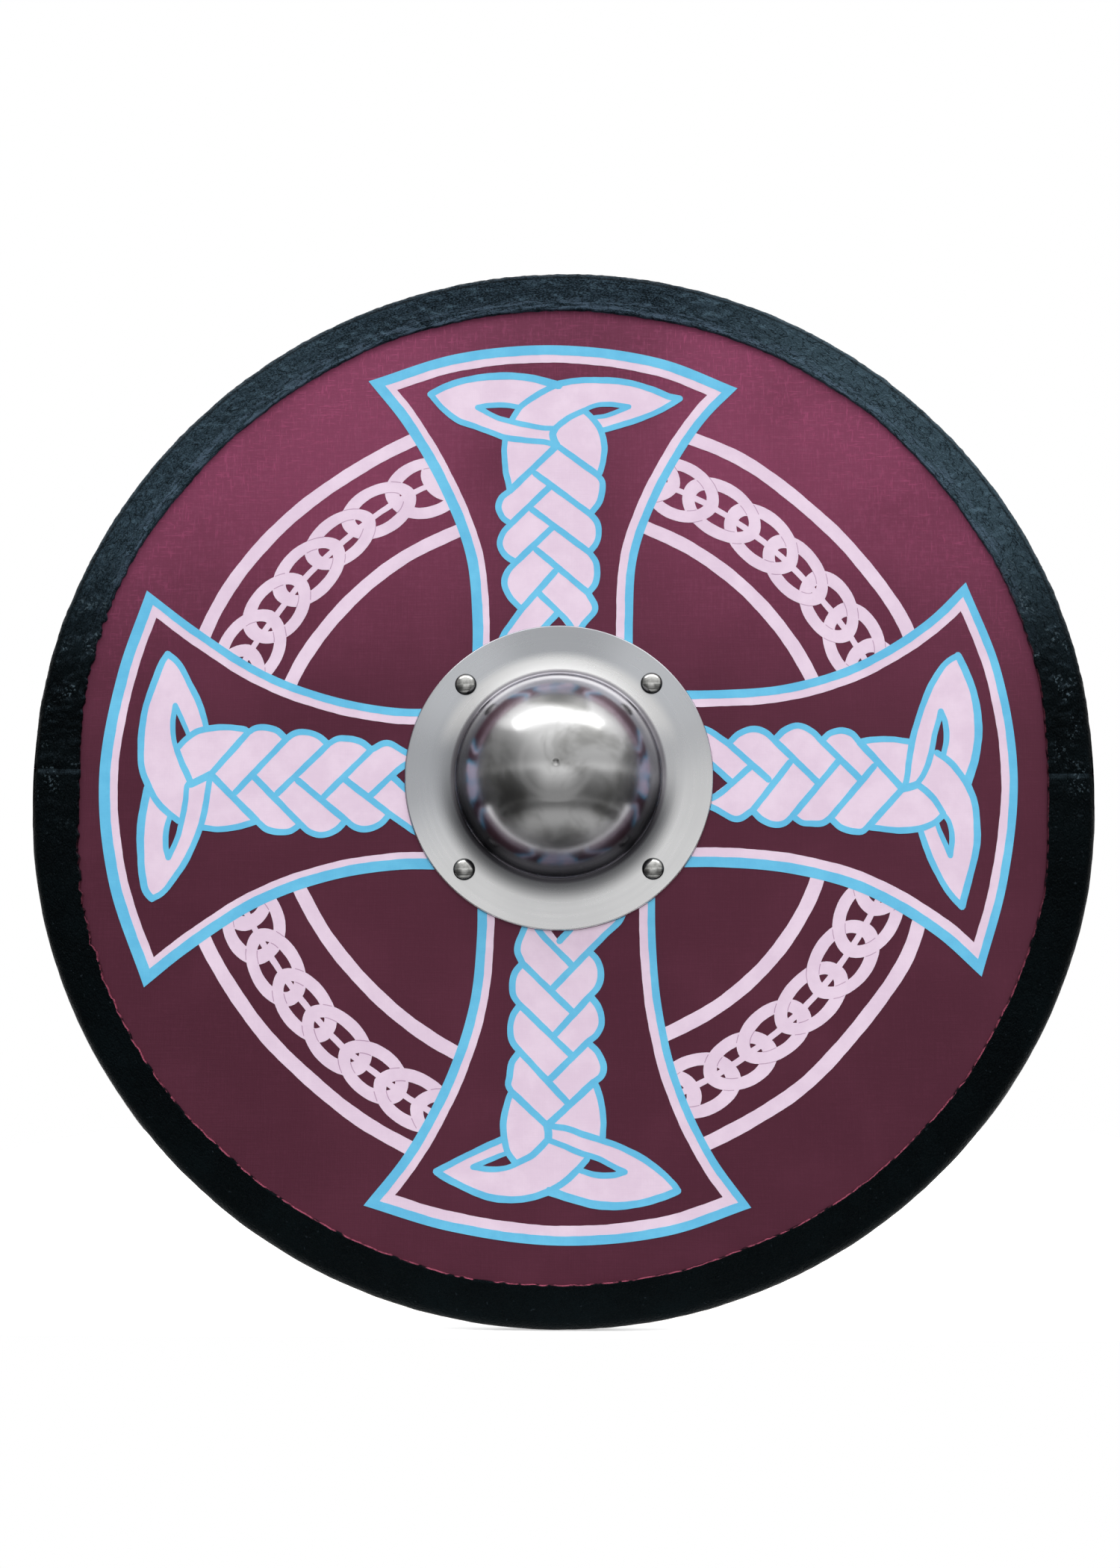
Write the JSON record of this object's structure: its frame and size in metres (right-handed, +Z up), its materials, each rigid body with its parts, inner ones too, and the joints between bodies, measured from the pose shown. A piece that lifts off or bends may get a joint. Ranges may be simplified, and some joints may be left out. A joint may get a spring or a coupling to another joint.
{
  "type": "viking shield",
  "caption": "Round wooden centre-grip shield with a painted canvas face, a folded leather rim, a domed steel boss and a grip bar behind the boss.",
  "frame": {"origin": "middle of the disc on the back plane of the board, at the front of the grip bar, where a hand holds the shield", "axes": "+Z up in the painted pattern, +X to the right seen from the front, the painted face looks along -Y and the grip bar is at +Y"},
  "size_m": [0.61, 0.0877, 0.61],
  "materials": {
    "plywood": "bare birch plywood, matt",
    "maroon_canvas": "cloth under maroon paint, eggshell",
    "black_leather": "leather under black paint, semi-gloss",
    "spun_steel": "spun steel, flange brushed in circles, dome polished",
    "bright_steel": "polished bolt heads",
    "zinc_steel": "zinc plated",
    "grip_wood": "oiled ash, satin"
  },
  "bodies": {
    "root": {"board": "plywood", "canvas_facing": "maroon_canvas", "rim_leather_upper": "black_leather", "rim_leather_lower": "black_leather", "boss_shell": "spun_steel", "grip_bar": "grip_wood", "boss_bolt_1": "bright_steel", "boss_bolt_2": "bright_steel", "boss_bolt_3": "bright_steel", "boss_bolt_4": "bright_steel", "boss_washer_1": "zinc_steel", "boss_washer_2": "zinc_steel", "boss_washer_3": "zinc_steel", "boss_washer_4": "zinc_steel", "boss_nut_1": "zinc_steel", "boss_nut_2": "zinc_steel", "boss_nut_3": "zinc_steel", "boss_nut_4": "zinc_steel", "grip_screw_1": "zinc_steel", "grip_screw_2": "zinc_steel", "grip_screw_3": "zinc_steel", "grip_screw_4": "zinc_steel"}
  },
  "joints": []
}
